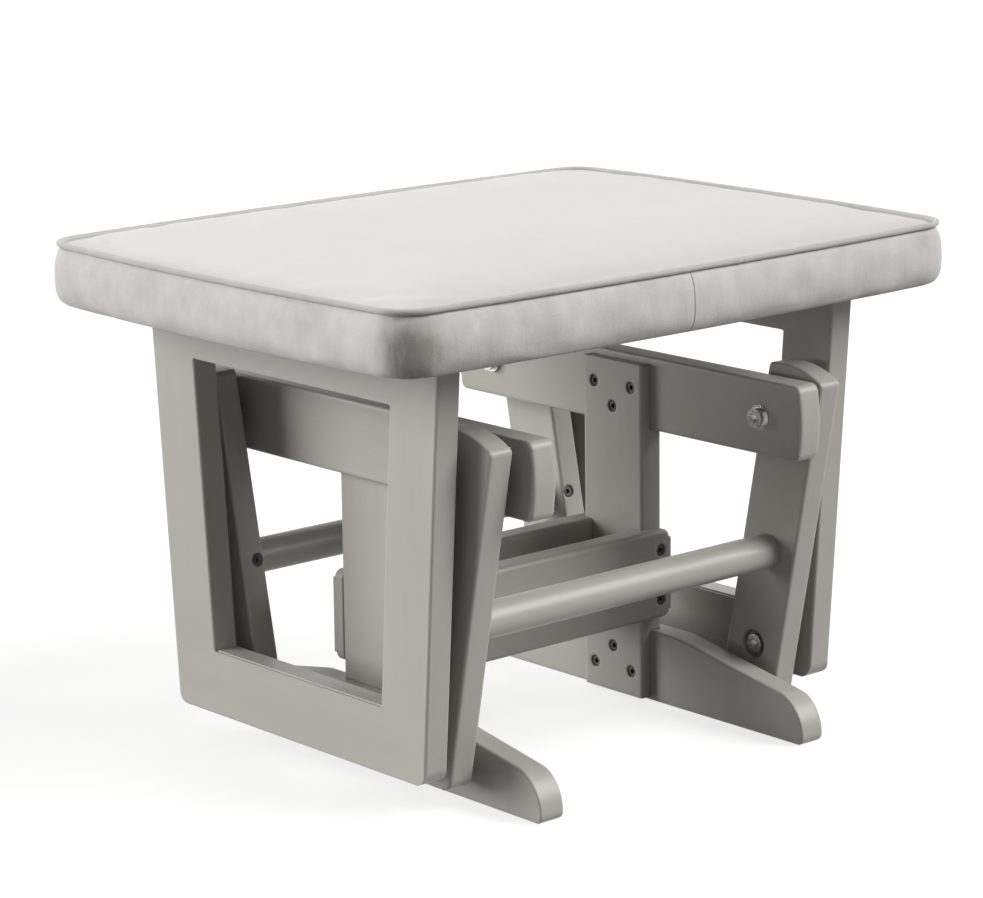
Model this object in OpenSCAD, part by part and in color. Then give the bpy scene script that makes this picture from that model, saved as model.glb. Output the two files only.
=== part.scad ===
// Glider ottoman: a cushion on two side frames that hang from four swinging links.
// X runs across the ottoman, the front faces -Y, and the floor is Z = 0.

/* [Boards] */
// Thickness of every board
board_t = 20; // [17:1:22]
// Radius along the long edges of the boards
edge_r = 2; // [1:0.5:3]
// Radius along the long edges of the cross rails
rail_edge_r = 3.5; // [1:0.5:5]

/* [Base] */
// Clear distance between the two posts
post_gap = 213; // [190:1:240]
// Width of a post from front to back
post_w = 62; // [56:1:72]
// Distance of the top of a post under the top of an arm
post_drop = 5; // [3:0.5:12]
// Gap between the bottom of a post and the floor
post_lift = 3; // [1:0.5:8]
// Depth that the arms and feet are let into the posts
housing_d = 11; // [8:0.5:13]
// Height of an arm board
arm_h = 54.5; // [46:0.5:60]
// Height of the top of an arm
arm_top = 261.5; // [259:0.5:266]
// Half the length of an arm
arm_half = 184; // [178:1:200]
// Height of a foot board at the post
foot_h = 54; // [44:1:60]
// Half the length of a foot
foot_half = 187.5; // [175:0.5:205]
// Height of the toe of a foot
toe_h = 31; // [26:1:36]
// Height of a cross rail
rail_h = 67; // [56:1:74]
// Height of the underside of the cross rails
rail_z = 65.5; // [60:0.5:72]
// Distance that the cross rails stand proud of the posts
rail_proud = 10.5; // [7:0.5:14]

/* [Links] */
// Distance of the upper pivots inside the ends of the arms
pivot_up_inset = 40; // [36:1:46]
// Distance of the upper pivots under the tops of the arms
pivot_up_drop = 27; // [24:0.5:30]
// Distance of the lower pivots inside the ends of the side frames
pivot_low_inset = 28.5; // [24:0.5:32]
// Height of the lower pivots
pivot_low_z = 54.5; // [49:0.5:56]
// Width of a link
link_w = 52.5; // [44:0.5:56]
// Distance that a link runs on past its upper pivot
link_end_up = 33; // [29:0.5:34.5]
// Distance that a link runs on past its lower pivot
link_end_low = 39; // [35:0.5:40.5]
// Gap between a link and the boards on both sides of it
link_gap = 9.5; // [8:0.5:12]
// Diameter of the dowels that join the links
dowel_d = 25.5; // [22:0.5:30]
// Distance of a dowel from the lower pivot, along the link
dowel_rise = 74.5; // [60:0.5:110]

/* [Side frames] */
// Height of the underside of the side frames
frame_z = 27; // [24:0.5:29]
// Height of the top of the side frames
frame_top = 320; // [310:1:330]
// Half the length of a side frame along its underside
frame_half = 137.5; // [136:0.5:142]
// Width of the stiles and bottom rails
frame_w = 48; // [46:1:52]
// Height of the top rails
top_rail_h = 36; // [30:1:40]
// How much each end leans outward for each unit of height
frame_lean_share = 0.072; // [0.04:0.002:0.08]

/* [Cushion] */
// Length of the cushion, across the ottoman
cushion_x = 535; // [490:1:560]
// Depth of the cushion, front to back
cushion_y = 418; // [380:1:430]
// Height of the piping above the underside
cushion_side_h = 43; // [36:1:60]
// Rise of the crown above the piping
crown_h = 9; // [4:0.5:16]
// Corner radius of the cushion, seen from above
cushion_corner_r = 32; // [20:1:45]
// Thickness of the seat board inside the cushion
seat_board_t = 12; // [9:0.5:15]

/* [Hardware] */
// Diameter of the pivot bolts
bolt_d = 8; // [6:0.5:9]
// Diameter of the bolt heads
bolt_head_d = 14; // [13:0.5:14.5]
// Height of the bolt heads
bolt_head_h = 5; // [4:0.5:5]

/* [Hidden] */
$fn = 48;
arc_fn = 144;

// Clearances and the overrun of every cut
over = 1;
run_gap = 0.3;
fit_gap = 0.05;
glue_gap = 0.1;
open_pivot_gap = 1.8;

// Places of the boards across the ottoman, for the side at +X, and of the top of a post
post_top = arm_top - post_drop;
post_in = post_gap / 2;
post_out = post_in + board_t;
arm_in = post_out - housing_d;
arm_out = arm_in + board_t;
link_in = arm_out + link_gap;
link_out = link_in + board_t;
frame_in = link_out + link_gap;

// Screws in the posts, as shares of the post width and of the arm and foot height
screw_side_share = 0.315;
arm_pair_share = 0.574;
arm_single_share = 0.27;
foot_pair_share = 0.407;
foot_single_share = 0.704;
screw_d = 5;
screw_head_d = 9;
screw_head_h = 4;
screw_sink = 1;
screw_bite = 14;
socket_d = 4;
socket_h = 2;

// Cross rails
rail_front = post_w / 2 + rail_proud;
rail_back = rail_front - board_t;
rail_corner_r = 6;
rail_screw_share = 0.28;
rail_screw_bite = 24;

// Arms and feet
end_fill_share = 0.98;
arm_end_bulge = 5;
arm_corner_r = 6;
arm_end_r = end_radius(arm_h / 2, arm_end_bulge, arm_corner_r);
arm_point = arm_half + crest_drop(arm_h / 2, arm_end_bulge, arm_end_r);
foot_flat = 58;
foot_bend_r = 150;
toe_r = 29;
toe_floor_r = 6;

// Links, with their round ends and the recesses at their pivots
pivot_up_y = arm_half - pivot_up_inset;
pivot_up_z = arm_top - pivot_up_drop;
pivot_low_y = frame_half - pivot_low_inset;
link_lean = atan2(pivot_up_y - pivot_low_y, pivot_up_z - pivot_low_z);
link_len = norm([pivot_up_y - pivot_low_y, pivot_up_z - pivot_low_z]);
link_end_bulge = 9;
link_up_corner_r = 4;
link_low_corner_r = 9;
link_up_end_r = end_radius(link_w / 2, link_end_bulge, link_up_corner_r);
link_low_end_r = end_radius(link_w / 2, link_end_bulge, link_low_corner_r);
link_high = link_len + link_end_up + crest_drop(link_w / 2, link_end_bulge, link_up_end_r);
link_low = -link_end_low - crest_drop(link_w / 2, link_end_bulge, link_low_end_r);
head_recess_d = 21.5;
head_recess_h = 6;
bush_wall = 2;
bearing_d = 20;
bearing_h = 11;
dowel_tenon_d = 20;
dowel_tenon_l = 12;
dowel_screw_d = 4;
dowel_screw_head_d = 9.5;
dowel_screw_head_h = 3;

// Bolts, washers, sleeves, spacers and inserts
bolt_socket_d = 6.5;
bolt_socket_h = 3;
washer_d = 18;
washer_t = 1.5;
sleeve_d = 12;
sleeve_flange_d = 17;
sleeve_flange_t = 2;
spacer_d = 18;
insert_wall = 2;
insert_h = 14;

// Side frames
frame_corner_r = 12;
frame_top_corner_r = 4;
stile_z = frame_z + frame_w;
window_top = frame_top - top_rail_h;
frame_angle = atan(frame_lean_share);
frame_pin_d = 8;
frame_pin_l = 24;
frame_pin_share = 0.25;

// Seat board and the cushion round it
seat_inset = 20;
seat_screw_l = 40;
seat_screw_share = 0.33;
seat_screw_d = 5;
seat_screw_head_d = 9;
seat_screw_head_h = 4;
seat_screw_sink = 3;
seat_corner_r = 14;
piping_r = 2.2;
seam_inset = 7.2;
side_bow = 6;
cushion_tuck = 7;
crown_power = 4;
arc_steps = 8;
side_steps = 6;
wall_steps = 6;
piping_steps = 4;
crown_steps = 7;

wood = [0.66, 0.65, 0.62];
steel = [0.75, 0.76, 0.78];
dark_steel = [0.3, 0.3, 0.3];
nylon = [0.2, 0.2, 0.2];
ply = [0.8, 0.68, 0.5];
cloth = [0.84, 0.83, 0.81];

function unit(v) = v / norm(v);
function flat(c) = [c[0], c[1]];

// A board of that thickness with round corners, each given as [x, y, radius]. Where edge is above zero, its
// edges are rounded by that much all the way round those corners
module corner_board(corners, edge) {
    n = len(corners);
    difference() {
        linear_extrude(board_t) polygon([for (c = corners) flat(c)]);
        for (i = [0:n - 1])
            corner_cut(flat(corners[i]), flat(corners[(i + n - 1) % n]), flat(corners[(i + 1) % n]),
                       corners[i][2], edge);
    }
}

// What a round corner takes off the sharp corner p between its two neighbours
module corner_cut(p, before, after, r, edge) {
    u = unit(before - p);
    w = unit(after - p);
    half = acos(u * w) / 2;
    centre = p + unit(u + w) * r / sin(half);
    reach = r / tan(half);
    difference() {
        translate([0, 0, -over]) linear_extrude(board_t + 2 * over)
            polygon([centre, for (q = [p + u * reach, p, p + w * reach]) q + over * unit(q - centre)]);
        translate(centre) rotate_extrude($fn = arc_fn) disc_half(r, edge);
    }
}

// Half the section of a disc whose rim is rounded by edge
module disc_half(r, edge) {
    square([r - edge, board_t]);
    if (edge > 0) {
        translate([0, edge]) square([r, board_t - 2 * edge]);
        intersection() {
            square([r, board_t]);
            for (y = [edge, board_t - edge]) translate([r - edge, y]) circle(edge);
        }
    }
}

// The arched end of a board is an arc between two round corners. It fills a blunt point that stands out by
// bulge, and its crest lies a little inside that point
function end_radius(half, bulge, corner_r) =
    let(slant = atan2(bulge, half))
    end_fill_share * (norm([half, bulge]) - corner_r * tan((90 - slant) / 2)) / tan(slant);
function crest_drop(half, bulge, r) = r * (norm([half, bulge]) / half - 1);

module right() { children(); }
module left() { mirror([1, 0, 0]) children(); }
module both_sides() {
    right() children();
    left() children();
}
module both_ends() {
    children();
    mirror([0, 1, 0]) children();
}

// A board that stands on edge along Y, from its round-cornered outline in (y, z)
module upright_board(x, corners, edge) {
    translate([x, 0, 0]) rotate([90, 0, 90]) corner_board(corners, edge);
}

module round_rect(size, r) {
    square([size.x - 2 * r, size.y], center = true);
    square([size.x, size.y - 2 * r], center = true);
    for (sx = [-1, 1], sy = [-1, 1])
        translate([sx * (size.x / 2 - r), sy * (size.y / 2 - r)]) circle(r);
}

// A long bar along Y with rounded edges, from height z up to z + h
module y_bar(x, z, h, r, length) {
    translate([x + board_t / 2, 0, z + h / 2]) rotate([90, 0, 0])
        linear_extrude(length, center = true) round_rect([board_t, h], r);
}

// A hole along X from x0 to x1
module x_hole(x0, x1, d) {
    translate([x0, 0, 0]) rotate([0, 90, 0]) cylinder(d = d, h = x1 - x0);
}

// A ring along X from x0 to x1
module x_ring(x0, x1, d, bore) {
    difference() {
        x_hole(x0, x1, d);
        x_hole(x0 - over, x1 + over, bore);
    }
}

// Places of the three screws that hold an arm or a foot
module arm_screw_places() {
    arm_z = arm_top - arm_h;
    for (s = [-1, 1])
        translate([0, s * post_w * screw_side_share, arm_z + arm_h * arm_pair_share]) children();
    translate([0, 0, arm_z + arm_h * arm_single_share]) children();
}
module foot_screw_places() {
    for (s = [-1, 1])
        translate([0, s * post_w * screw_side_share, foot_h * foot_pair_share]) children();
    translate([0, 0, foot_h * foot_single_share]) children();
}

// A socket screw that enters the inner face of a post and bites into the board outside it
module post_screw() {
    difference() {
        union() {
            x_hole(post_in + screw_sink, post_in + screw_sink + screw_head_h, screw_head_d);
            x_hole(post_in + screw_sink, arm_in + screw_bite, screw_d);
        }
        translate([post_in + screw_sink - over, 0, 0]) rotate([0, 90, 0])
            cylinder(d = socket_d, h = socket_h + over, $fn = 6);
    }
}
module post_screw_hole() {
    x_hole(post_in - over, post_in + screw_sink + screw_head_h, screw_head_d + 2 * glue_gap);
    x_hole(post_in, arm_in + screw_bite, screw_d + 2 * glue_gap);
}

module post() {
    color(wood) difference() {
        translate([post_in + board_t / 2, 0, post_lift])
            linear_extrude(post_top - post_lift) round_rect([board_t, post_w], edge_r);
        translate([arm_in, -post_w, arm_top - arm_h]) cube([board_t, 2 * post_w, post_top]);
        translate([arm_in, -post_w, -over]) cube([board_t, 2 * post_w, foot_h + over]);
        arm_screw_places() post_screw_hole();
        foot_screw_places() post_screw_hole();
        both_ends() rail_screw_places() rail_screw_hole();
    }
}

module arm() {
    low = arm_top - arm_h;
    tip = arm_point - arm_end_bulge;
    corners = [
        [-tip, low, arm_corner_r], [tip, low, arm_corner_r], [arm_point, low + arm_h / 2, arm_end_r],
        [tip, arm_top, arm_corner_r], [-tip, arm_top, arm_corner_r],
        [-arm_point, low + arm_h / 2, arm_end_r]
    ];
    color(wood) difference() {
        intersection() {
            upright_board(arm_in, corners, edge_r);
            y_bar(arm_in, low, arm_h, edge_r, 2 * arm_point);
        }
        arm_screw_places() post_screw_hole();
        both_ends() translate([0, pivot_up_y, pivot_up_z])
            x_hole(arm_in - over, arm_out + over, bolt_d + 2 * fit_gap);
    }
}

// A foot is level at the post and falls in a straight slope to its round toe
module foot_slope_bar() {
    slope = atan2(foot_h - toe_h, foot_half - foot_flat);
    tall = 3 * foot_h;
    translate([0, foot_flat, foot_h]) rotate([-slope, 0, 0])
        translate([0, -foot_flat, -tall]) y_bar(arm_in, 0, tall, edge_r, 4 * foot_half);
}
module foot() {
    corners = [
        [-foot_half, 0, toe_floor_r], [foot_half, 0, toe_floor_r], [foot_half, toe_h, toe_r],
        [foot_flat, foot_h, foot_bend_r], [-foot_flat, foot_h, foot_bend_r],
        [-foot_half, toe_h, toe_r]
    ];
    color(wood) difference() {
        intersection() {
            upright_board(arm_in, corners, 0);
            y_bar(arm_in, 0, foot_h, edge_r, 2 * foot_half + over);
            foot_slope_bar();
            mirror([0, 1, 0]) foot_slope_bar();
        }
        foot_screw_places() post_screw_hole();
    }
}

// Places of the two screws at one end of the front rail, on the middle plane of the post
module rail_screw_places() {
    for (s = [-1, 1])
        translate([post_in + board_t / 2, -rail_front, rail_z + rail_h / 2 + s * rail_h * rail_screw_share])
            children();
}
module y_hole(length, d) {
    rotate([-90, 0, 0]) cylinder(d = d, h = length);
}
module rail_screw() {
    translate([0, screw_sink, 0]) difference() {
        union() {
            y_hole(screw_head_h, screw_head_d);
            y_hole(rail_screw_bite, screw_d);
        }
        translate([0, -over, 0]) rotate([-90, 0, 0]) cylinder(d = socket_d, h = socket_h + over, $fn = 6);
    }
}
module rail_screw_hole() {
    translate([0, -over, 0]) y_hole(screw_sink + screw_head_h + over, screw_head_d + 2 * glue_gap);
    y_hole(screw_sink + rail_screw_bite, screw_d + 2 * glue_gap);
}

// A cross rail laps over the edges of the posts and fits between them
module cross_rail() {
    corners = [
        [-post_out, rail_z, rail_corner_r], [post_out, rail_z, rail_corner_r],
        [post_out, rail_z + rail_h, rail_corner_r], [-post_out, rail_z + rail_h, rail_corner_r]
    ];
    color(wood) difference() {
        intersection() {
            translate([0, -rail_back, 0]) rotate([90, 0, 0]) corner_board(corners, rail_edge_r);
            translate([0, -rail_front + board_t / 2, rail_z + rail_h / 2]) rotate([90, 0, 90])
                linear_extrude(2 * post_out + over, center = true)
                    round_rect([board_t, rail_h], rail_edge_r);
        }
        both_sides() translate([post_in, -post_w / 2, rail_z - over])
            cube([board_t + over, board_t, rail_h + 2 * over]);
        both_sides() rail_screw_places() rail_screw_hole();
    }
}

module arm_screws() { color(dark_steel) both_sides() arm_screw_places() post_screw(); }
module foot_screws() { color(dark_steel) both_sides() foot_screw_places() post_screw(); }
module rail_screws() { color(dark_steel) both_sides() both_ends() rail_screw_places() rail_screw(); }

// Upper pivots: a bolt through the arm ends in a flanged sleeve, on which the link's bearing turns
module upper_places() {
    both_sides() both_ends() translate([0, pivot_up_y, pivot_up_z]) children();
}
upper_head = arm_in - washer_t;
bearing_end = link_in + bearing_h;
sleeve_end = bearing_end + run_gap + sleeve_flange_t;
bearing_pocket_h = sleeve_end + run_gap - link_in;
module upper_bolts() {
    color(steel) upper_places() difference() {
        union() {
            x_hole(upper_head - bolt_head_h, upper_head, bolt_head_d);
            x_hole(upper_head - bolt_head_h + bolt_socket_h, sleeve_end, bolt_d);
        }
        translate([upper_head - bolt_head_h - over, 0, 0]) rotate([0, 90, 0])
            cylinder(d = bolt_socket_d, h = bolt_socket_h + over, $fn = 6);
    }
}
module upper_bolt_washers() {
    color(steel) upper_places() x_ring(upper_head, arm_in, washer_d, bolt_d + 2 * fit_gap);
}
module upper_spacers() {
    color(nylon) upper_places() x_ring(arm_out, link_in - run_gap, spacer_d, bolt_d + 2 * fit_gap);
}
module upper_sleeves() {
    color(steel) upper_places() difference() {
        union() {
            x_hole(link_in - run_gap, sleeve_end, sleeve_d);
            x_hole(bearing_end + run_gap, sleeve_end, sleeve_flange_d);
        }
        x_hole(link_in - over, sleeve_end + over, bolt_d + 2 * fit_gap);
    }
}

// Link frame: origin at the lower pivot, +Z towards the upper pivot, for the front right link
open_bush_bore = bolt_d + 2 * open_pivot_gap;
module front_link_frame() {
    translate([0, -pivot_low_y, pivot_low_z]) rotate([link_lean, 0, 0]) children();
}
function lower_bore(open) = open ? open_bush_bore : bolt_d + 2 * fit_gap;
function lower_bush_d(open) = lower_bore(open) + 2 * bush_wall;

module link(open) {
    half = link_w / 2;
    corners = [
        [0, link_low, link_low_end_r], [half, link_low + link_end_bulge, link_low_corner_r],
        [half, link_high - link_end_bulge, link_up_corner_r], [0, link_high, link_up_end_r],
        [-half, link_high - link_end_bulge, link_up_corner_r],
        [-half, link_low + link_end_bulge, link_low_corner_r]
    ];
    color(wood) front_link_frame() difference() {
        intersection() {
            upright_board(link_in, corners, edge_r);
            translate([link_in + board_t / 2, 0, link_low])
                linear_extrude(link_high - link_low) round_rect([board_t, link_w], edge_r);
        }
        translate([0, 0, link_len]) x_hole(link_in - over, link_in + bearing_pocket_h, bearing_d);
        x_hole(link_in, link_out + over, lower_bush_d(open));
        x_hole(link_in - over, link_in + head_recess_h, head_recess_d);
        translate([0, 0, dowel_rise]) {
            x_hole(link_in - over, link_in + dowel_tenon_l, dowel_tenon_d);
            dowel_screw_place() dowel_screw_hole();
        }
    }
}

// The screw that locks a dowel goes through the edge of the link that faces the middle
module dowel_screw_place() {
    translate([link_in + dowel_tenon_l / 2, link_w / 2, 0]) rotate([90, 0, 0]) children();
}
dowel_screw_l = link_w / 2;
module dowel_screw() {
    translate([0, 0, screw_sink]) difference() {
        union() {
            cylinder(d = dowel_screw_head_d, h = dowel_screw_head_h);
            cylinder(d = dowel_screw_d, h = dowel_screw_l);
        }
        translate([0, 0, -over]) cylinder(d = socket_d, h = socket_h + over, $fn = 6);
    }
}
module dowel_screw_hole() {
    translate([0, 0, -over])
        cylinder(d = dowel_screw_head_d + 2 * glue_gap, h = screw_sink + dowel_screw_head_h + over);
    cylinder(d = dowel_screw_d + 2 * glue_gap, h = screw_sink + dowel_screw_l + glue_gap);
}

module dowel() {
    color(wood) difference() {
        front_link_frame() translate([0, 0, dowel_rise]) {
            x_hole(-link_in, link_in, dowel_d);
            both_sides() x_hole(link_in, link_in + dowel_tenon_l - glue_gap, dowel_tenon_d - 2 * glue_gap);
        }
        both_sides() front_link_frame() translate([0, 0, dowel_rise])
            dowel_screw_place() dowel_screw_hole();
    }
}
module dowel_screws() {
    color(dark_steel) both_sides() front_link_frame() translate([0, 0, dowel_rise])
        dowel_screw_place() dowel_screw();
}
module link_bearings() {
    color(nylon) both_sides() front_link_frame() translate([0, 0, link_len])
        x_ring(link_in, bearing_end, bearing_d - 2 * glue_gap, sleeve_d + 2 * run_gap);
}
module link_bushes(open) {
    color(nylon) both_sides() front_link_frame()
        x_ring(link_in + head_recess_h, link_out, lower_bush_d(open) - 2 * glue_gap, lower_bore(open));
}
module rear() { mirror([0, 1, 0]) children(); }

// Lower pivots: a bolt sunk in the link screws into an insert in the side frame
module lower_places() {
    both_sides() both_ends() translate([0, pivot_low_y, pivot_low_z]) children();
}
lower_head = link_in + head_recess_h - run_gap;
insert_end = frame_in + insert_h;
module lower_bolts() {
    color(steel) lower_places() difference() {
        union() {
            x_hole(lower_head - bolt_head_h, lower_head, bolt_head_d);
            x_hole(lower_head - bolt_head_h + bolt_socket_h, insert_end - over, bolt_d);
        }
        translate([lower_head - bolt_head_h - over, 0, 0]) rotate([0, 90, 0])
            cylinder(d = bolt_socket_d, h = bolt_socket_h + over, $fn = 6);
    }
}
module lower_spacers() {
    color(nylon) lower_places() x_ring(link_out + run_gap, frame_in, spacer_d, bolt_d + 2 * fit_gap);
}
insert_d = bolt_d + 2 * fit_gap + 2 * insert_wall;
module lower_inserts() {
    color(steel) lower_places() x_ring(frame_in, insert_end, insert_d, bolt_d + 2 * fit_gap);
}

// Side frame: half lengths of its outside and of its window at a height
function out_y(z) = frame_half + frame_lean_share * (z - frame_z);
function in_y(z) = out_y(z) - frame_w / cos(frame_angle);

// A tall bar of some depth whose rear face leans like the rear end of the frame
module lean_bar(deep) {
    translate([frame_in + board_t / 2, frame_half, frame_z]) rotate([-frame_angle, 0, 0])
        translate([0, -deep / 2, -frame_top]) linear_extrude(3 * frame_top) round_rect([board_t, deep], edge_r);
}

// Rounds one level edge of the window, on both faces, from point a to point b of the outline
module window_edge(a, b) {
    turn = atan2(a.x - b.x, b.y - a.y);
    translate([frame_in, a.x, a.y]) rotate([turn, 0, 0])
        for (flip = [0, 1])
            translate([flip * board_t, 0, 0]) mirror([flip, 0, 0]) linear_extrude(norm(b - a)) difference() {
                translate([-over, -over]) square(edge_r + over);
                translate([edge_r, edge_r]) circle(edge_r);
            }
}

// The frame's outside, which its four boards share
module frame_blank() {
    corners = [
        [-out_y(frame_z), frame_z, frame_corner_r], [out_y(frame_z), frame_z, frame_corner_r],
        [out_y(frame_top), frame_top, frame_top_corner_r],
        [-out_y(frame_top), frame_top, frame_top_corner_r]
    ];
    intersection() {
        upright_board(frame_in, corners, 0);
        y_bar(frame_in, frame_z, frame_top, edge_r, 4 * frame_half);
        lean_bar(4 * frame_half);
        mirror([0, 1, 0]) lean_bar(4 * frame_half);
    }
}
module slab(z0, z1) {
    translate([0, -frame_top, z0]) cube([frame_top, 2 * frame_top, z1 - z0]);
}
sill_end = [in_y(stile_z), stile_z];
head_end = [in_y(window_top), window_top];
module bottom_rail() {
    color(wood) difference() {
        intersection() {
            frame_blank();
            slab(-over, stile_z);
        }
        window_edge(sill_end, [-sill_end.x, sill_end.y]);
        lower_places() x_hole(frame_in - over, insert_end, insert_d + 2 * glue_gap);
        frame_pin_places() frame_pin(glue_gap);
    }
}
module top_rail() {
    color(wood) difference() {
        intersection() {
            frame_blank();
            slab(window_top, frame_top + over);
        }
        window_edge([-head_end.x, head_end.y], head_end);
        frame_pin_places() frame_pin(glue_gap);
        seat_screw_places() seat_screw_hole();
    }
}
module rear_stile() {
    color(wood) difference() {
        intersection() {
            lean_bar(frame_w);
            slab(stile_z, window_top);
        }
        frame_pin_places() frame_pin(glue_gap);
    }
}
module front_stile() { mirror([0, 1, 0]) rear_stile(); }

// Two pins in each joint between a stile and a rail
function stile_mid(z) = (out_y(z) + in_y(z)) / 2;
module frame_pin_places() {
    both_ends()
        for (z = [stile_z, window_top], s = [-1, 1])
            translate([frame_in + board_t / 2, stile_mid(z) + s * frame_w * frame_pin_share, z]) children();
}
module frame_pin(gap) {
    cylinder(d = frame_pin_d + 2 * gap, h = frame_pin_l + 2 * gap, center = true);
}
module frame_pins() { color(ply) frame_pin_places() frame_pin(0); }

// Seat board on top of the side frames, held by screws from below
seat_x = cushion_x - 2 * seat_inset;
seat_y = cushion_y - 2 * seat_inset;
module seat_screw_places() {
    for (i = [-1, 0, 1])
        translate([frame_in + board_t / 2, i * out_y(frame_top) * 2 * seat_screw_share, window_top]) children();
}
module seat_screw() {
    translate([0, 0, seat_screw_sink]) difference() {
        union() {
            cylinder(d = seat_screw_head_d, h = seat_screw_head_h);
            cylinder(d = seat_screw_d, h = seat_screw_l - seat_screw_sink);
        }
        translate([0, 0, -over]) cylinder(d = socket_d, h = socket_h + over, $fn = 6);
    }
}
module seat_screw_hole() {
    translate([0, 0, -over])
        cylinder(d = seat_screw_head_d + 2 * glue_gap, h = seat_screw_sink + seat_screw_head_h + over);
    cylinder(d = seat_screw_d + 2 * glue_gap, h = seat_screw_l + glue_gap);
}
module seat_screws() { color(dark_steel) both_sides() seat_screw_places() seat_screw(); }
module seat_board() {
    color(ply) difference() {
        translate([0, 0, frame_top]) linear_extrude(seat_board_t) round_rect([seat_x, seat_y], seat_corner_r);
        both_sides() seat_screw_places() seat_screw_hole();
    }
}

// Cushion: rings of one plan outline, full in the middle of the wall, piped at the top edge, then crowned
function plan(inset) =
    let(
        r = cushion_corner_r - min(inset, cushion_corner_r / 2),
        a = cushion_x / 2 - side_bow - inset,
        b = cushion_y / 2 - side_bow - inset
    )
    [for (q = [0:3])
        let(
            along = q % 2 == 0 ? b : a,
            across = q % 2 == 0 ? a : b
        )
        each [
            for (i = [1:side_steps - 1])
                let(t = -1 + 2 * i / side_steps)
                turned([across + side_bow * (1 - t * t), t * (along - r)], q),
            for (i = [0:arc_steps])
                turned([across - r + r * cos(90 * i / arc_steps), along - r + r * sin(90 * i / arc_steps)], q)
        ]];
function turned(p, q) = [p.x * cos(90 * q) - p.y * sin(90 * q), p.x * sin(90 * q) + p.y * cos(90 * q)];
function ring_at(inset, z) = [for (p = plan(inset)) [p.x, p.y, z]];
function crown_ring(share, z) = [for (p = plan(seam_inset)) [p.x * share, p.y * share, z]];
function wall_inset(share) =
    share < 0.5 ? cushion_tuck * pow(1 - 2 * share, 3) : seam_inset * pow(2 * share - 1, 3);

pipe_z = frame_top + cushion_side_h;
wall_h = cushion_side_h - piping_r;
cushion_rings = [
    for (i = [0:wall_steps])
        let(share = (1 - cos(180 * i / wall_steps)) / 2)
        ring_at(wall_inset(share), frame_top + wall_h * share),
    for (i = [1:piping_steps])
        let(turn = 180 * i / piping_steps)
        ring_at(seam_inset - piping_r * sin(turn), pipe_z - piping_r * cos(turn)),
    for (i = [1:crown_steps - 1])
        let(share = 1 - i / crown_steps)
        crown_ring(share, pipe_z + crown_h * (1 - pow(share, crown_power)))
];
module stacked(rings) {
    n = len(rings[0]);
    m = len(rings);
    polyhedron(
        points = [each [for (r = rings) each r], [0, 0, pipe_z + crown_h]],
        faces = [
            [for (i = [0:n - 1]) i],
            for (k = [0:m - 2], i = [0:n - 1]) each [
                [k * n + i, (k + 1) * n + i, k * n + (i + 1) % n],
                [k * n + (i + 1) % n, (k + 1) * n + i, (k + 1) * n + (i + 1) % n]
            ],
            for (i = [0:n - 1]) [(m - 1) * n + i, m * n, (m - 1) * n + (i + 1) % n]
        ]
    );
}
module cushion() {
    color(cloth) difference() {
        stacked(cushion_rings);
        translate([0, 0, frame_top - over]) linear_extrude(seat_board_t + run_gap + over)
            square([seat_x + 2 * run_gap, seat_y + 2 * run_gap], center = true);
    }
}

left() post();  // left_post
right() post();  // right_post
left() arm();  // left_arm
right() arm();  // right_arm
left() foot();  // left_foot
right() foot();  // right_foot
cross_rail();  // front_rail
rear() cross_rail();  // rear_rail
arm_screws();
foot_screws();
rail_screws();
upper_bolts();
upper_bolt_washers();
upper_spacers();
upper_sleeves();
left() link(false);  // left_front_link
right() link(false);  // right_front_link
dowel();  // front_dowel
dowel_screws();  // front_dowel_screws
link_bearings();  // front_link_bearings
link_bushes(false);  // front_link_bushes
left() rear() link(true);  // left_rear_link
right() rear() link(true);  // right_rear_link
rear() dowel();  // rear_dowel
rear() dowel_screws();  // rear_dowel_screws
rear() link_bearings();  // rear_link_bearings
rear() link_bushes(true);  // rear_link_bushes
left() bottom_rail();  // left_bottom_rail
left() front_stile();  // left_front_stile
left() rear_stile();  // left_rear_stile
left() top_rail();  // left_top_rail
right() bottom_rail();  // right_bottom_rail
right() front_stile();  // right_front_stile
right() rear_stile();  // right_rear_stile
right() top_rail();  // right_top_rail
left() frame_pins();  // left_frame_pins
right() frame_pins();  // right_frame_pins
lower_bolts();
lower_spacers();
lower_inserts();
seat_board();
seat_screws();
cushion();
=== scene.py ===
import math

import bpy
import numpy as np
from mathutils import Matrix, Vector, noise


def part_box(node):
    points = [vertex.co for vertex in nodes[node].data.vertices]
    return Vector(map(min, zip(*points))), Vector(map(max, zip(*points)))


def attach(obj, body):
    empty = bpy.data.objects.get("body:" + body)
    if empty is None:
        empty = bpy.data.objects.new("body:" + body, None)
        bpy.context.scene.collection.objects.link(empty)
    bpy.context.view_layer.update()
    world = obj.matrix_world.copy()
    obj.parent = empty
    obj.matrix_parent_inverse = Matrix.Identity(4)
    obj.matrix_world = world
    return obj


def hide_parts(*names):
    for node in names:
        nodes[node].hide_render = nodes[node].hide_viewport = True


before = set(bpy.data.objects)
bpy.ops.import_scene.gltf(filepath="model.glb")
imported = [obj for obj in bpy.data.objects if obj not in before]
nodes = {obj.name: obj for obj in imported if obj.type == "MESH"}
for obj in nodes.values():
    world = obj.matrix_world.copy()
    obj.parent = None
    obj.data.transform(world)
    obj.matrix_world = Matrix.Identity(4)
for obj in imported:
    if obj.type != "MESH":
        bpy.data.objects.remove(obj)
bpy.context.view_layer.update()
scene = bpy.context.scene
scene.view_settings.view_transform = "Standard"


def new_object(name, data):
    """Puts an object that shows this data into the scene."""
    made = bpy.data.objects.new(name, data)
    scene.collection.objects.link(made)
    return made


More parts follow.
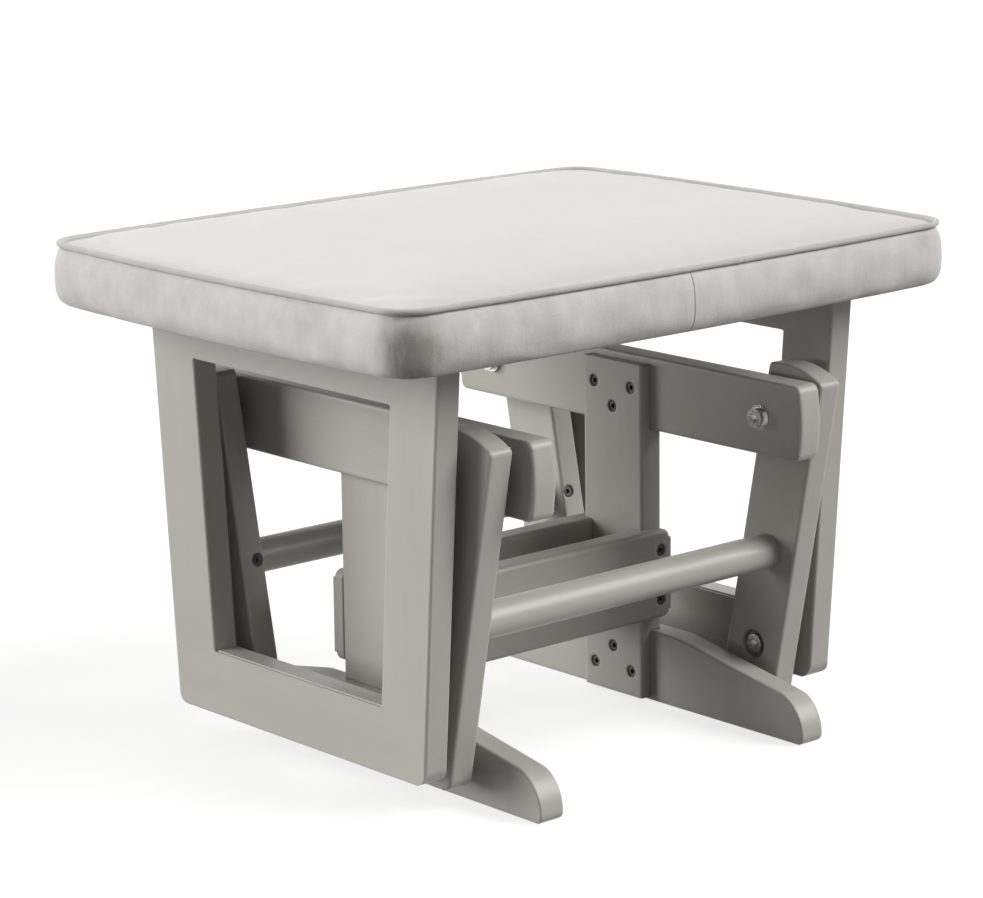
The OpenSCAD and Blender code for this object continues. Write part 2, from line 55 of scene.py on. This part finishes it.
def mesh_object(name, points, faces):
    """An object with a mesh of points and faces."""
    mesh = bpy.data.meshes.new(name)
    mesh.from_pydata(points, [], faces)
    return new_object(name, mesh)


# Camera
# The values come from fitting the ottoman's edges to the photograph. Angles are in degrees.

PHOTO_WIDTH_PX = 983
FOCAL_PX = 3456.34
SENSOR_WIDTH_MM = 36
CAMERA_YAW = 40.996
CAMERA_PITCH = 12.851
CAMERA_ROLL = -0.737
CAMERA_DISTANCE = 2.5011
CAMERA_AIM_HEIGHT = 0.144
CAMERA_OFFSET_RIGHT = -0.00981
CAMERA_OFFSET_UP = 0.06052


def add_camera():
    """A camera at the photograph's place."""
    yaw, pitch, roll = (math.radians(a) for a in (CAMERA_YAW, CAMERA_PITCH, CAMERA_ROLL))
    ahead = Vector((math.sin(yaw) * math.cos(pitch), math.cos(yaw) * math.cos(pitch), -math.sin(pitch)))
    level_right = ahead.cross(Vector((0, 0, 1))).normalized()
    level_up = level_right.cross(ahead)
    right = level_right * math.cos(roll) + level_up * math.sin(roll)
    up = level_up * math.cos(roll) - level_right * math.sin(roll)
    aim = Vector((0, 0, CAMERA_AIM_HEIGHT))
    place = aim + right * CAMERA_OFFSET_RIGHT + up * CAMERA_OFFSET_UP - ahead * CAMERA_DISTANCE
    data = bpy.data.cameras.new("camera")
    data.sensor_width = SENSOR_WIDTH_MM
    data.lens = FOCAL_PX * SENSOR_WIDTH_MM / PHOTO_WIDTH_PX
    camera = new_object("camera", data)
    camera.matrix_world = Matrix.Translation(place) @ Matrix((right, up, -ahead)).transposed().to_4x4()
    scene.camera = camera


# Sky and floor

WHITE = (1, 1, 1, 1)
SKY_LEVEL = 0.18
SKY_SEEN_LEVEL = 1
FLOOR_SIZE = 40
FLOOR_SEEN_COLOUR = (0.34, 0.34, 0.34, 1)
FLOOR_SEEN_GLOW = 0.74
FLOOR_BOUNCE_COLOUR = (0.2, 0.2, 0.2, 1)


def add_shader(tree, kind, **values):
    """A shader node with some of its inputs set."""
    made = tree.nodes.new(kind)
    for name, value in values.items():
        made.inputs[name].default_value = value
    return made


def shown_to_eye(tree):
    """A value of 1 for rays that come from the camera, a mirror or glass, and 0 for other rays."""
    path = tree.nodes.new("ShaderNodeLightPath")
    value = path.outputs["Is Camera Ray"]
    for ray in ("Is Glossy Ray", "Is Transmission Ray"):
        either = tree.nodes.new("ShaderNodeMath")
        either.operation = "MAXIMUM"
        tree.links.new(value, either.inputs[0])
        tree.links.new(path.outputs[ray], either.inputs[1])
        value = either.outputs[0]
    return value


def show_and_light(tree, shown, lighting, output_kind):
    """Shows one shader to the eye, and lets the other light the object."""
    choice = tree.nodes.new("ShaderNodeMixShader")
    output = tree.nodes.new(output_kind)
    tree.links.new(shown_to_eye(tree), choice.inputs[0])
    tree.links.new(lighting.outputs[0], choice.inputs[1])
    tree.links.new(shown.outputs[0], choice.inputs[2])
    tree.links.new(choice.outputs[0], output.inputs["Surface"])


def add_sky():
    """A plain grey sky for light, which the camera sees as white."""
    world = bpy.data.worlds.new("studio")
    scene.world = world
    world.use_nodes = True
    tree = world.node_tree
    tree.nodes.clear()
    lighting = add_shader(tree, "ShaderNodeBackground", Color=WHITE, Strength=SKY_LEVEL)
    shown = add_shader(tree, "ShaderNodeBackground", Color=WHITE, Strength=SKY_SEEN_LEVEL)
    show_and_light(tree, shown, lighting, "ShaderNodeOutputWorld")


def add_floor():
    """A pale floor that keeps a soft shadow and throws little light back up."""
    half = FLOOR_SIZE / 2
    corners = [(-half, -half, 0), (half, -half, 0), (half, half, 0), (-half, half, 0)]
    floor = mesh_object("floor", corners, [(0, 1, 2, 3)])
    material = bpy.data.materials.new("floor_white")
    material.use_nodes = True
    tree = material.node_tree
    tree.nodes.clear()
    lighting = add_shader(tree, "ShaderNodeBsdfDiffuse", Color=FLOOR_BOUNCE_COLOUR)
    surface = add_shader(tree, "ShaderNodeBsdfDiffuse", Color=FLOOR_SEEN_COLOUR)
    glow = add_shader(tree, "ShaderNodeEmission", Strength=FLOOR_SEEN_GLOW)
    shown = tree.nodes.new("ShaderNodeAddShader")
    tree.links.new(surface.outputs[0], shown.inputs[0])
    tree.links.new(glow.outputs[0], shown.inputs[1])
    show_and_light(tree, shown, lighting, "ShaderNodeOutputMaterial")
    floor.data.materials.append(material)


# Suns
# For each one its strength, the direction it shines from, its spread in degrees and its colour.

SUNS = {
    "left_sun": (4.3, (-0.72, 0.60, 0.20), 45, (1.0, 0.99, 0.975)),
    "front_sun": (3.5, (0.62, -0.75, 0.72), 40, (1.0, 0.99, 0.97)),
    "top_sun": (0.25, (-0.25, 0.35, 0.90), 40, (1.0, 0.995, 0.985)),
}


def add_sun(name, strength, from_direction, spread, colour):
    """A wide, soft sun that shines from a direction."""
    data = bpy.data.lights.new(name, "SUN")
    data.energy = strength
    data.angle = math.radians(spread)
    data.color = colour
    sun = new_object(name, data)
    sun.rotation_mode = "QUATERNION"
    sun.rotation_quaternion = Vector(from_direction).to_track_quat("Z", "Y")


add_camera()
add_sky()
add_floor()
for sun_name, sun_values in SUNS.items():
    add_sun(sun_name, *sun_values)


# Sizes of the cushion
# All but SLACK are the CAD part's own. SIDE_BOW is how far each side bows out at its middle, and the two
# insets are how far the wall is drawn in at its edges. SLACK is the room left for the air to fill.

WALL_HEIGHT = 0.043
CROWN_HEIGHT = 0.009
CORNER_RADIUS = 0.032
SIDE_BOW = 0.006
SEAM_INSET = 0.0072
UNDERSIDE_INSET = 0.007
PIPING_RADIUS = 0.0022
SLACK = 0.0022

cushion_low, cushion_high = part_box("cushion")
base_z = cushion_low.z
seam_z = base_z + WALL_HEIGHT


# Materials


class Shade:
    """Short ways to lay out one material's nodes."""

    def __init__(self, name, **values):
        self.material = bpy.data.materials.new(name)
        self.material.use_nodes = True
        self.tree = self.material.node_tree
        self.shader = self.tree.nodes["Principled BSDF"]
        self.place = self.tree.nodes.new("ShaderNodeTexCoord").outputs["Object"]
        for key, value in values.items():
            self.shader.inputs[key.replace("_", " ")].default_value = value

    def node(self, kind, inputs, **settings):
        """A node whose inputs are plain values or the outputs of other nodes."""
        made = self.tree.nodes.new(kind)
        for key, value in settings.items():
            setattr(made, key, value)
        for key, value in inputs.items():
            if isinstance(value, bpy.types.NodeSocket):
                self.tree.links.new(value, made.inputs[key])
            else:
                made.inputs[key].default_value = value
        return made

    def along(self, axis):
        """The place on one axis."""
        return self.node("ShaderNodeSeparateXYZ", {0: self.place}).outputs[axis]

    def noise(self, waves, detail=3, stretch=(1, 1, 1), roughness=0.5):
        """Noise of that many waves to the metre, drawn out on an axis where stretch is under 1."""
        moved = self.node("ShaderNodeMapping", {"Vector": self.place, "Scale": stretch}).outputs[0]
        inputs = {"Vector": moved, "Scale": waves, "Detail": detail, "Roughness": roughness}
        return self.node("ShaderNodeTexNoise", inputs).outputs["Fac"]

    def ramp(self, value, low, high, start=0.0, end=1.0):
        """Maps start to end of a value onto low to high."""
        inputs = {"Value": value, "From Min": start, "From Max": end, "To Min": low, "To Max": high}
        return self.node("ShaderNodeMapRange", inputs).outputs[0]

    def swing(self, value, depth):
        """Maps 0 to 1 of a value onto minus depth to depth."""
        return self.ramp(value, -depth, depth)

    def mix(self, value, a, b):
        """Colour a where a value is 0, colour b where it is 1, and a blend between."""
        inputs = {"Factor": value, "A": a, "B": b}
        return self.node("ShaderNodeMix", inputs, data_type="RGBA").outputs["Result"]

    def math(self, how, a, b):
        return self.node("ShaderNodeMath", {0: a, 1: b}, operation=how).outputs[0]

    def total(self, first, *others):
        """The sum of two or more values."""
        for other in others:
            first = self.math("ADD", first, other)
        return first

    def bump(self, height, depth, strength=1.0, normal=None):
        """Relief of a depth, laid over the relief of another normal if there is one."""
        inputs = {"Height": height, "Distance": depth, "Strength": strength}
        if normal is not None:
            inputs["Normal"] = normal
        return self.node("ShaderNodeBump", inputs).outputs[0]

    def link(self, output, name):
        self.tree.links.new(output, self.shader.inputs[name])


# Wood

GRAIN_STRETCH = 0.045
ARRIS_WIDTH = 0.003
ARRIS_SAMPLES = 6
LACQUER_DARK = (0.348, 0.334, 0.310, 1)
LACQUER_LIGHT = (0.398, 0.385, 0.360, 1)
BARE_WOOD_DARK = (0.34, 0.31, 0.265, 1)
BARE_WOOD_LIGHT = (0.44, 0.405, 0.35, 1)


def lacquered_wood(name, axis, arris=0.0):
    """Satin grey lacquer over wood with its grain along an axis; arris is how wide it softens edges."""
    s = Shade(name, Coat_Weight=0.15, Coat_Roughness=0.25, Specular_IOR_Level=0.25)
    along_grain = [1, 1, 1]
    along_grain["XYZ".index(axis)] = GRAIN_STRETCH
    fibres = s.noise(waves=420, detail=4, stretch=along_grain, roughness=0.6)
    figure = s.noise(waves=38, detail=2, stretch=along_grain)
    cloudy = s.noise(waves=9, detail=2)
    tone = s.total(s.swing(fibres, 0.35), s.swing(figure, 0.5), s.swing(cloudy, 0.3))
    s.link(s.mix(s.ramp(tone, 0, 1, start=-0.7, end=0.7), LACQUER_DARK, LACQUER_LIGHT), "Base Color")
    s.link(s.ramp(s.total(fibres, cloudy), 0.34, 0.46, start=0.6, end=1.4), "Roughness")
    edges = None
    if arris:
        edges = s.node("ShaderNodeBevel", {"Radius": arris}, samples=ARRIS_SAMPLES).outputs[0]
    raised_grain = s.bump(fibres, depth=0.00006, normal=edges)
    orange_peel = s.bump(s.noise(waves=260, detail=2), depth=0.00003, normal=raised_grain)
    s.link(orange_peel, "Normal")
    return s.material


def plain_wood(name):
    """Bare wood of the seat board and the pins."""
    s = Shade(name, Roughness=0.75)
    fibres = s.noise(waves=300, detail=4, stretch=(0.05, 1, 1), roughness=0.6)
    s.link(s.mix(s.ramp(fibres, 0, 1, start=0.3, end=0.7), BARE_WOOD_DARK, BARE_WOOD_LIGHT), "Base Color")
    s.link(s.bump(fibres, depth=0.0002), "Normal")
    return s.material


# Metal and nylon

BRIGHT_STEEL = (0.62, 0.61, 0.60, 1)
BRIGHT_STEEL_DULLED = (0.50, 0.49, 0.48, 1)
DARK_STEEL = (0.085, 0.080, 0.075, 1)
DARK_STEEL_DULLED = (0.05, 0.047, 0.044, 1)
NYLON_DARK = (0.030, 0.030, 0.031, 1)
NYLON_LIGHT = (0.048, 0.047, 0.046, 1)


def metal(name, colour, dulled_colour, smoothest, roughest):
    """Plated steel with fine scratches and a little dulling."""
    s = Shade(name, Metallic=1.0)
    scratches = s.noise(waves=900, detail=4, stretch=(1, 0.15, 1), roughness=0.7)
    dulled = s.noise(waves=160)
    s.link(s.mix(s.ramp(dulled, 0, 1, start=0.4, end=0.65), colour, dulled_colour), "Base Color")
    s.link(s.ramp(s.total(scratches, dulled), smoothest, roughest, start=0.7, end=1.3), "Roughness")
    s.link(s.bump(scratches, depth=0.00002), "Normal")
    return s.material


def nylon(name):
    """Dark moulded nylon with a fine matte skin."""
    s = Shade(name)
    matte = s.noise(waves=1500, detail=2)
    s.link(s.mix(s.noise(waves=60, detail=2), NYLON_DARK, NYLON_LIGHT), "Base Color")
    s.link(s.ramp(matte, 0.45, 0.6, start=0.3, end=0.7), "Roughness")
    s.link(s.bump(matte, depth=0.00003), "Normal")
    return s.material


# Cloth
# The top keeps a share of the wall's mottle. The boxing seam is an upright one in the front of the wall.
# Shade is painted down the corner nearest to the camera: it starts some way along the front and the side,
# and is full within the two shorter lengths.

COVER_DARK = (0.30, 0.284, 0.266, 1)
COVER_LIGHT = (0.68, 0.667, 0.660, 1)
# The piping is cut from the cover's cloth; its darker colours are painted shade.
PIPING_DARK = (0.34, 0.33, 0.32, 1)
PIPING_LIGHT = (0.54, 0.53, 0.52, 1)
TOP_MOTTLE = 0.15
MOTTLE_FADE_BELOW_SEAM = 0.004
MOTTLE_FADE_ABOVE_SEAM = 0.003
BOXING_SEAM_X = -0.0115
BOXING_SEAM_HALF_WIDTH = 0.0012
BOXING_SEAM_REACH = 0.012
BOXING_SEAM_DARKNESS = 0.4
BOXING_SEAM_DEPTH = 0.0007
CORNER_ALONG_FRONT = 0.056
CORNER_ALONG_SIDE = 0.036
CORNER_FULL_FRONT = 0.008
CORNER_FULL_SIDE = 0.004
CORNER_RAGGED = 0.006
CORNER_FADE_BELOW_SEAM = 0.022
CORNER_FADE_ABOVE_SEAM = 0.004


def calmer_top(s):
    """A value of 1 on the wall that falls to TOP_MOTTLE on the top."""
    fade_start = seam_z - MOTTLE_FADE_BELOW_SEAM
    fade_end = seam_z + MOTTLE_FADE_ABOVE_SEAM
    return s.ramp(s.along("Z"), 1, TOP_MOTTLE, start=fade_start, end=fade_end)


def boxing_seam(s):
    """A value of 1 along the upright seam in the front of the cushion's wall."""
    away = s.math("ABSOLUTE", s.math("SUBTRACT", s.along("X"), BOXING_SEAM_X), 0.0)
    line = s.ramp(away, 1, 0, end=BOXING_SEAM_HALF_WIDTH)
    front = s.math("LESS_THAN", s.along("Y"), BOXING_SEAM_REACH - cushion_high.y)
    return s.math("MULTIPLY", line, front)


def painted_corner_shade(s, strokes):
    """A value of 1 down the front left corner, where shade is painted into the cloth, with ragged edges."""
    ragged = s.ramp(strokes, -CORNER_RAGGED, CORNER_RAGGED, start=0.3, end=0.7)
    leftward = s.math("SUBTRACT", ragged, s.along("X"))
    forward = s.math("SUBTRACT", ragged, s.along("Y"))
    left = cushion_high.x
    front = cushion_high.y
    near_left = s.ramp(leftward, 0, 1, start=left - CORNER_ALONG_FRONT, end=left - CORNER_FULL_FRONT)
    near_front = s.ramp(forward, 0, 1, start=front - CORNER_ALONG_SIDE, end=front - CORNER_FULL_SIDE)
    corner = s.ramp(s.math("MULTIPLY", near_left, near_front), 0, 1, start=0.05, end=0.55)
    fade_start = seam_z - CORNER_FADE_BELOW_SEAM
    fade_end = seam_z + CORNER_FADE_ABOVE_SEAM
    return s.math("MULTIPLY", corner, s.ramp(s.along("Z"), 1, 0, start=fade_start, end=fade_end))


def brushed_cloth(name, dark, light, cover=False):
    """Short-pile microfibre, brushed in patches; the cover has a calmer top, a seam and a corner of painted
    shade.
    """
    s = Shade(name, Roughness=0.95, Sheen_Weight=0.3, Sheen_Roughness=0.45, Specular_IOR_Level=0.15)
    patches = s.noise(waves=24, stretch=(1, 1, 1.3), roughness=0.55)
    strokes = s.noise(waves=120, stretch=(1, 1, 0.3), roughness=0.65)
    pile = s.noise(waves=900, roughness=0.7)
    tone = s.total(s.swing(patches, 0.45), s.swing(strokes, 0.15), s.swing(pile, 0.2))
    relief = s.bump(strokes, depth=0.0005, strength=0.5)
    if cover:
        seam = boxing_seam(s)
        tone = s.math("MULTIPLY", tone, calmer_top(s))
        # Painted shade darkens the wall's front left corner.
        tone = s.math("SUBTRACT", tone, painted_corner_shade(s, strokes))
        tone = s.math("SUBTRACT", tone, s.math("MULTIPLY", seam, BOXING_SEAM_DARKNESS))
        relief = s.bump(s.math("MULTIPLY", seam, -1.0), depth=BOXING_SEAM_DEPTH, normal=relief)
    s.link(s.mix(s.ramp(tone, 0, 1, start=-0.9, end=0.5), dark, light), "Base Color")
    weave = s.node("ShaderNodeTexVoronoi", {"Vector": s.place, "Scale": 1100}).outputs["Distance"]
    s.link(s.bump(s.total(weave, pile), depth=0.0002, strength=0.5, normal=relief), "Normal")
    return s.material


# One material for each kind of piece. The side frames' joints are flush, so their edges aren't softened.

wood_along = {axis: lacquered_wood("grey_lacquer_" + axis.lower(), axis, ARRIS_WIDTH) for axis in "XYZ"}
joined_wood = {axis: lacquered_wood("grey_lacquer_frame_" + axis.lower(), axis) for axis in "YZ"}
bare_wood = plain_wood("bare_wood")
bright_steel = metal("bright_plate", BRIGHT_STEEL, BRIGHT_STEEL_DULLED, smoothest=0.16, roughest=0.34)
dark_steel = metal("dark_plate", DARK_STEEL, DARK_STEEL_DULLED, smoothest=0.5, roughest=0.7)
dark_nylon = nylon("dark_nylon")
cover_cloth = brushed_cloth("cover_cloth", COVER_DARK, COVER_LIGHT, cover=True)
# The piping and the seam allowance take the cover's cloth in darker colours, which is painted shade.
piping_cloth_painted_shade = brushed_cloth("piping_cloth_painted_shade", PIPING_DARK, PIPING_LIGHT)


def material_for(name):
    """The material of a CAD piece, told by its name."""
    if name.endswith("screws"):
        return dark_steel
    if "bolt" in name or "sleeve" in name or "insert" in name:
        return bright_steel
    if "spacers" in name or "bushes" in name or "bearings" in name:
        return dark_nylon
    if name.endswith(("pins", "seat_board")):
        return bare_wood
    if name.endswith("stile"):
        return joined_wood["Z"]
    if name.endswith(("bottom_rail", "top_rail")):
        return joined_wood["Y"]
    if name.endswith(("arm", "foot")):
        return wood_along["Y"]
    if name.endswith(("rail", "dowel")):
        return wood_along["X"]
    return wood_along["Z"]


for node_name, node in nodes.items():
    if node_name != "cushion":
        node.data.materials.clear()
        node.data.materials.append(material_for(node_name))


# Cushion
# The curves are powers: the higher one is, the nearer to its edge a surface turns over.

QUARTER_TURNS = ((1, 0), (0, 1), (-1, 0), (0, -1))
LOWER_WALL_CURVE = 4
UPPER_WALL_CURVE = 3
CROWN_CURVE = 3
UNDERSIDE_SHARES = (0.2, 0.4, 0.6, 0.8, 0.93)
WALL_RINGS = 10
TOP_RINGS = 16


def plan(inset, per_side=40, per_corner=12):
    """Points round the cushion's outline seen from above, drawn in by an inset."""
    r = CORNER_RADIUS - min(inset, CORNER_RADIUS / 2)
    half = (cushion_high.x - SIDE_BOW - inset, cushion_high.y - SIDE_BOW - inset)
    points = []
    for quarter, (c, s) in enumerate(QUARTER_TURNS):
        across = half[quarter % 2]
        along = half[(quarter + 1) % 2]
        side = []
        for i in range(1, per_side):
            t = -1 + 2 * i / per_side
            side.append((across + SIDE_BOW * (1 - t * t), t * (along - r)))
        for i in range(per_corner + 1):
            turn = math.pi / 2 * i / per_corner
            side.append((across - r + r * math.cos(turn), along - r + r * math.sin(turn)))
        points += [(x * c - y * s, x * s + y * c) for x, y in side]
    return points


def wall_inset(share):
    """How far the wall is drawn in at a share of its height."""
    if share < 0.5:
        return UNDERSIDE_INSET * (1 - 2 * share) ** LOWER_WALL_CURVE
    return SEAM_INSET * (2 * share - 1) ** UPPER_WALL_CURVE


def cushion_rings():
    """Closed rings from the middle of the underside up the wall to the middle of the top."""
    rings = []
    for share in UNDERSIDE_SHARES:
        rings.append([(x * share, y * share, base_z) for x, y in plan(UNDERSIDE_INSET)])
    for i in range(WALL_RINGS + 1):
        share = (1 - math.cos(math.pi * i / WALL_RINGS)) / 2
        held = SLACK * math.sin(math.pi * share)
        rings.append([(x, y, base_z + WALL_HEIGHT * share) for x, y in plan(wall_inset(share) + held)])
    for i in range(1, TOP_RINGS):
        share = 1 - i / TOP_RINGS
        rise = (CROWN_HEIGHT - SLACK) * (1 - share ** CROWN_CURVE)
        rings.append([(x * share, y * share, seam_z + rise) for x, y in plan(SEAM_INSET)])
    return rings


def skin(name, rings, bottom_point, top_point):
    """A closed mesh over rings, with a fan at each end."""
    n = len(rings[0])
    points = [bottom_point] + [p for ring in rings for p in ring] + [top_point]
    last = 1 + (len(rings) - 1) * n
    faces = []
    for i in range(n):
        faces.append((0, 1 + (i + 1) % n, 1 + i))
    for k in range(len(rings) - 1):
        for i in range(n):
            a = 1 + k * n + i
            b = 1 + k * n + (i + 1) % n
            faces.append((a, b, b + n, a + n))
    for i in range(n):
        faces.append((last + i, last + (i + 1) % n, len(points) - 1))
    return mesh_object(name, points, faces)


def apply_all(piece):
    """Turns a piece's modifiers into its mesh."""
    graph = bpy.context.evaluated_depsgraph_get()
    fresh = bpy.data.meshes.new_from_object(piece.evaluated_get(graph))
    piece.modifiers.clear()
    piece.data = fresh


def coords(piece):
    """The places of a piece's points, one row for each."""
    co = np.zeros(len(piece.data.vertices) * 3)
    piece.data.vertices.foreach_get("co", co)
    return co.reshape(-1, 3)


def set_coords(piece, co):
    piece.data.vertices.foreach_set("co", co.astype(np.float32).ravel())
    piece.data.update()


def shade_smooth(piece):
    for polygon in piece.data.polygons:
        polygon.use_smooth = True


# Air in the cushion
# Shrink below zero makes the cloth larger, so that it can swell. Points inside the seam's hold depth, at
# the height of the seam, stay in place, and so does the underside up to its hold height.

VOXEL_SIZE = 0.0045
CLOTH_FRAMES = 20
CLOTH_SETTINGS = {
    "quality": 6,
    "mass": 0.2,
    "tension_stiffness": 12,
    "compression_stiffness": 6,
    "bending_stiffness": 0.4,
    "shrink_min": -0.012,
    "use_pressure": True,
    "uniform_pressure_force": 4,
    "vertex_group_mass": "held",
}
SEAM_HOLD_MARGIN = 0.003
SEAM_HOLD_DEPTH = SEAM_INSET + SIDE_BOW + SEAM_HOLD_MARGIN
UNDERSIDE_HOLD_HEIGHT = 0.002
MOST_PUFF = 0.0045
NO_MOVE = 1e-9
RELAX_STEPS = 8
RELAX_FACTOR = 0.5


def depth_inside(co):
    """How far points lie inside the round-cornered box of the cushion's plan."""
    half = np.array((cushion_high.x, cushion_high.y))
    past = np.abs(co[:, :2]) - (half - CORNER_RADIUS)
    outside = np.linalg.norm(np.maximum(past, 0), axis=1)
    return CORNER_RADIUS - outside - np.minimum(past.max(axis=1), 0)


def held_points(co):
    """Which points the seam line and the underside hold in place."""
    seam_line = np.abs(co[:, 2] - seam_z) < VOXEL_SIZE
    edge = depth_inside(co) < SEAM_HOLD_DEPTH
    underside = co[:, 2] < base_z + UNDERSIDE_HOLD_HEIGHT
    return (seam_line & edge) | underside


def blow_up(cushion, fixed):
    """Lets air pressure push the cover out wherever it isn't held."""
    held = cushion.vertex_groups.new(name="held")
    for i in np.nonzero(fixed)[0]:
        held.add([int(i)], 1.0, "REPLACE")
    cloth = cushion.modifiers.new("cloth", "CLOTH")
    for key, value in CLOTH_SETTINGS.items():
        setattr(cloth.settings, key, value)
    cloth.settings.effector_weights.gravity = 0
    cloth.collision_settings.use_collision = False
    scene.frame_start = 1
    scene.frame_end = CLOTH_FRAMES
    for f in range(1, CLOTH_FRAMES + 1):
        scene.frame_set(f)
    apply_all(cushion)
    scene.frame_set(1)


def puff(cushion):
    """Fills the cover with air, keeps its swell under a limit and relaxes its wrinkles."""
    voxels = cushion.modifiers.new("voxels", "REMESH")
    voxels.mode = "VOXEL"
    voxels.voxel_size = VOXEL_SIZE
    apply_all(cushion)
    start = coords(cushion)
    fixed = held_points(start)
    blow_up(cushion, fixed)
    moved = coords(cushion) - start
    length = np.linalg.norm(moved, axis=1)
    keep = MOST_PUFF * np.tanh(length / MOST_PUFF) / np.maximum(length, NO_MOVE)
    set_coords(cushion, start + moved * keep[:, None])
    relax = cushion.modifiers.new("relax", "SMOOTH")
    relax.factor = RELAX_FACTOR
    relax.iterations = RELAX_STEPS
    apply_all(cushion)
    relaxed = coords(cushion)
    relaxed[fixed] = start[fixed]
    set_coords(cushion, relaxed)


# Gathers of the cloth under the piping
# They are deepest at the seam, and end a few reaches below it and a small share of a reach above it.

PUCKER_REACH = 0.014
PUCKER_REACHES_BELOW = 3
PUCKER_REACHES_ABOVE = 0.1
PUCKER_WAVES = 110
PUCKER_DRAWN_OUT = 6
PUCKER_SIDE = 0.00035
PUCKER_CORNER = 0.0008
PUCKER_CORNER_REACH = 0.045


def pucker(cushion):
    """Small upright gathers under the piping, deeper round the corners."""
    co = coords(cushion)
    for i, (x, y, z) in enumerate(co.copy()):
        below = (seam_z - z) / PUCKER_REACH
        if below < -PUCKER_REACHES_ABOVE or below > PUCKER_REACHES_BELOW:
            continue
        from_corner = max(cushion_high.x - abs(x), cushion_high.y - abs(y))
        round_corner = min(1, max(0, 2 - 2 * from_corner / PUCKER_CORNER_REACH))
        depth = PUCKER_SIDE + (PUCKER_CORNER - PUCKER_SIDE) * round_corner
        wave = noise.noise(Vector((x * PUCKER_WAVES, y * PUCKER_WAVES, z * PUCKER_WAVES / PUCKER_DRAWN_OUT)))
        outward = Vector((x / cushion_high.x, y / cushion_high.y)).normalized()
        push = depth * wave * math.exp(-max(below, 0))
        co[i, 0] += outward.x * push
        co[i, 1] += outward.y * push
    set_coords(cushion, co)


def build_cushion():
    """The padded cushion, which takes the place of its plain CAD block."""
    cushion = skin("ottoman_cushion", cushion_rings(), (0, 0, base_z), (0, 0, seam_z + CROWN_HEIGHT - SLACK))
    puff(cushion)
    smooth = cushion.modifiers.new("fine", "SUBSURF")
    smooth.levels = 1
    smooth.render_levels = 1
    apply_all(cushion)
    pucker(cushion)
    shade_smooth(cushion)
    cushion.data.materials.append(cover_cloth)
    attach(cushion, "seat")
    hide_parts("cushion")


# Piping
# Its ends lap at JOIN_X, where it is thicker, with a crease down the middle of the lap.

TUBE_SIDES = 12
TUBE_PER_CORNER = 24
PIPING_PER_SIDE = 300
PIPING_LIFT = 0.001
PIPING_SHARE_OUTSIDE = 0.4
PIPING_WAVES = 160
PIPING_UNEVEN = 0.07
JOIN_X = 0.037
JOIN_LAP = 0.006
JOIN_LAP_SWELL = 0.22
JOIN_CREASE = 0.0016
JOIN_CREASE_DEPTH = 0.4
ALLOWANCE_PER_SIDE = 60
ALLOWANCE_INSET = 0.0022
ALLOWANCE_DROP = 0.0018
ALLOWANCE_RADIUS = 0.0024


def level_path(inset, height, per_side):
    """A closed level line round the cushion, drawn in by an inset."""
    return [Vector((x, y, height)) for x, y in plan(inset, per_side, TUBE_PER_CORNER)]


def tube(name, path, radius):
    """A closed tube round a closed level path; radius gives the tube's radius at a point of the path."""
    points = []
    faces = []
    n = len(path)
    for i, p in enumerate(path):
        ahead = (path[(i + 1) % n] - path[i - 1]).normalized()
        out = ahead.cross(Vector((0, 0, 1))).normalized()
        up = out.cross(ahead)
        for k in range(TUBE_SIDES):
            turn = 2 * math.pi * k / TUBE_SIDES
            points.append(p + (out * math.cos(turn) + up * math.sin(turn)) * radius(p))
    for i in range(n):
        here = i * TUBE_SIDES
        beyond = (i + 1) % n * TUBE_SIDES
        for k in range(TUBE_SIDES):
            around = (k + 1) % TUBE_SIDES
            faces.append((here + k, here + around, beyond + around, beyond + k))
    made = mesh_object(name, points, faces)
    shade_smooth(made)
    return made


def piping_radius(p):
    """The cord under the cloth is a little uneven, and its ends lap and are stitched at the front."""
    radius = PIPING_RADIUS * (1 + PIPING_UNEVEN * noise.noise(p * PIPING_WAVES))
    if p.y > 0:
        return radius
    lap = JOIN_LAP_SWELL * math.exp(-(((p.x - JOIN_X) / JOIN_LAP) ** 2))
    crease = JOIN_CREASE_DEPTH * math.exp(-(((p.x - JOIN_X) / JOIN_CREASE) ** 2))
    return radius * (1 + lap - crease)


def build_piping():
    """The piping, and the seam allowance rolled up inside it between the wall and the top."""
    piping_inset = SEAM_INSET - PIPING_SHARE_OUTSIDE * PIPING_RADIUS
    piping_path = level_path(piping_inset, seam_z + PIPING_LIFT, PIPING_PER_SIDE)
    allowance_path = level_path(SEAM_INSET + ALLOWANCE_INSET, seam_z - ALLOWANCE_DROP, ALLOWANCE_PER_SIDE)
    piping = tube("ottoman_piping", piping_path, piping_radius)
    allowance = tube("ottoman_seam_allowance", allowance_path, lambda p: ALLOWANCE_RADIUS)
    for piece in (piping, allowance):
        piece.data.materials.append(piping_cloth_painted_shade)
        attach(piece, "seat")


build_cushion()
build_piping()
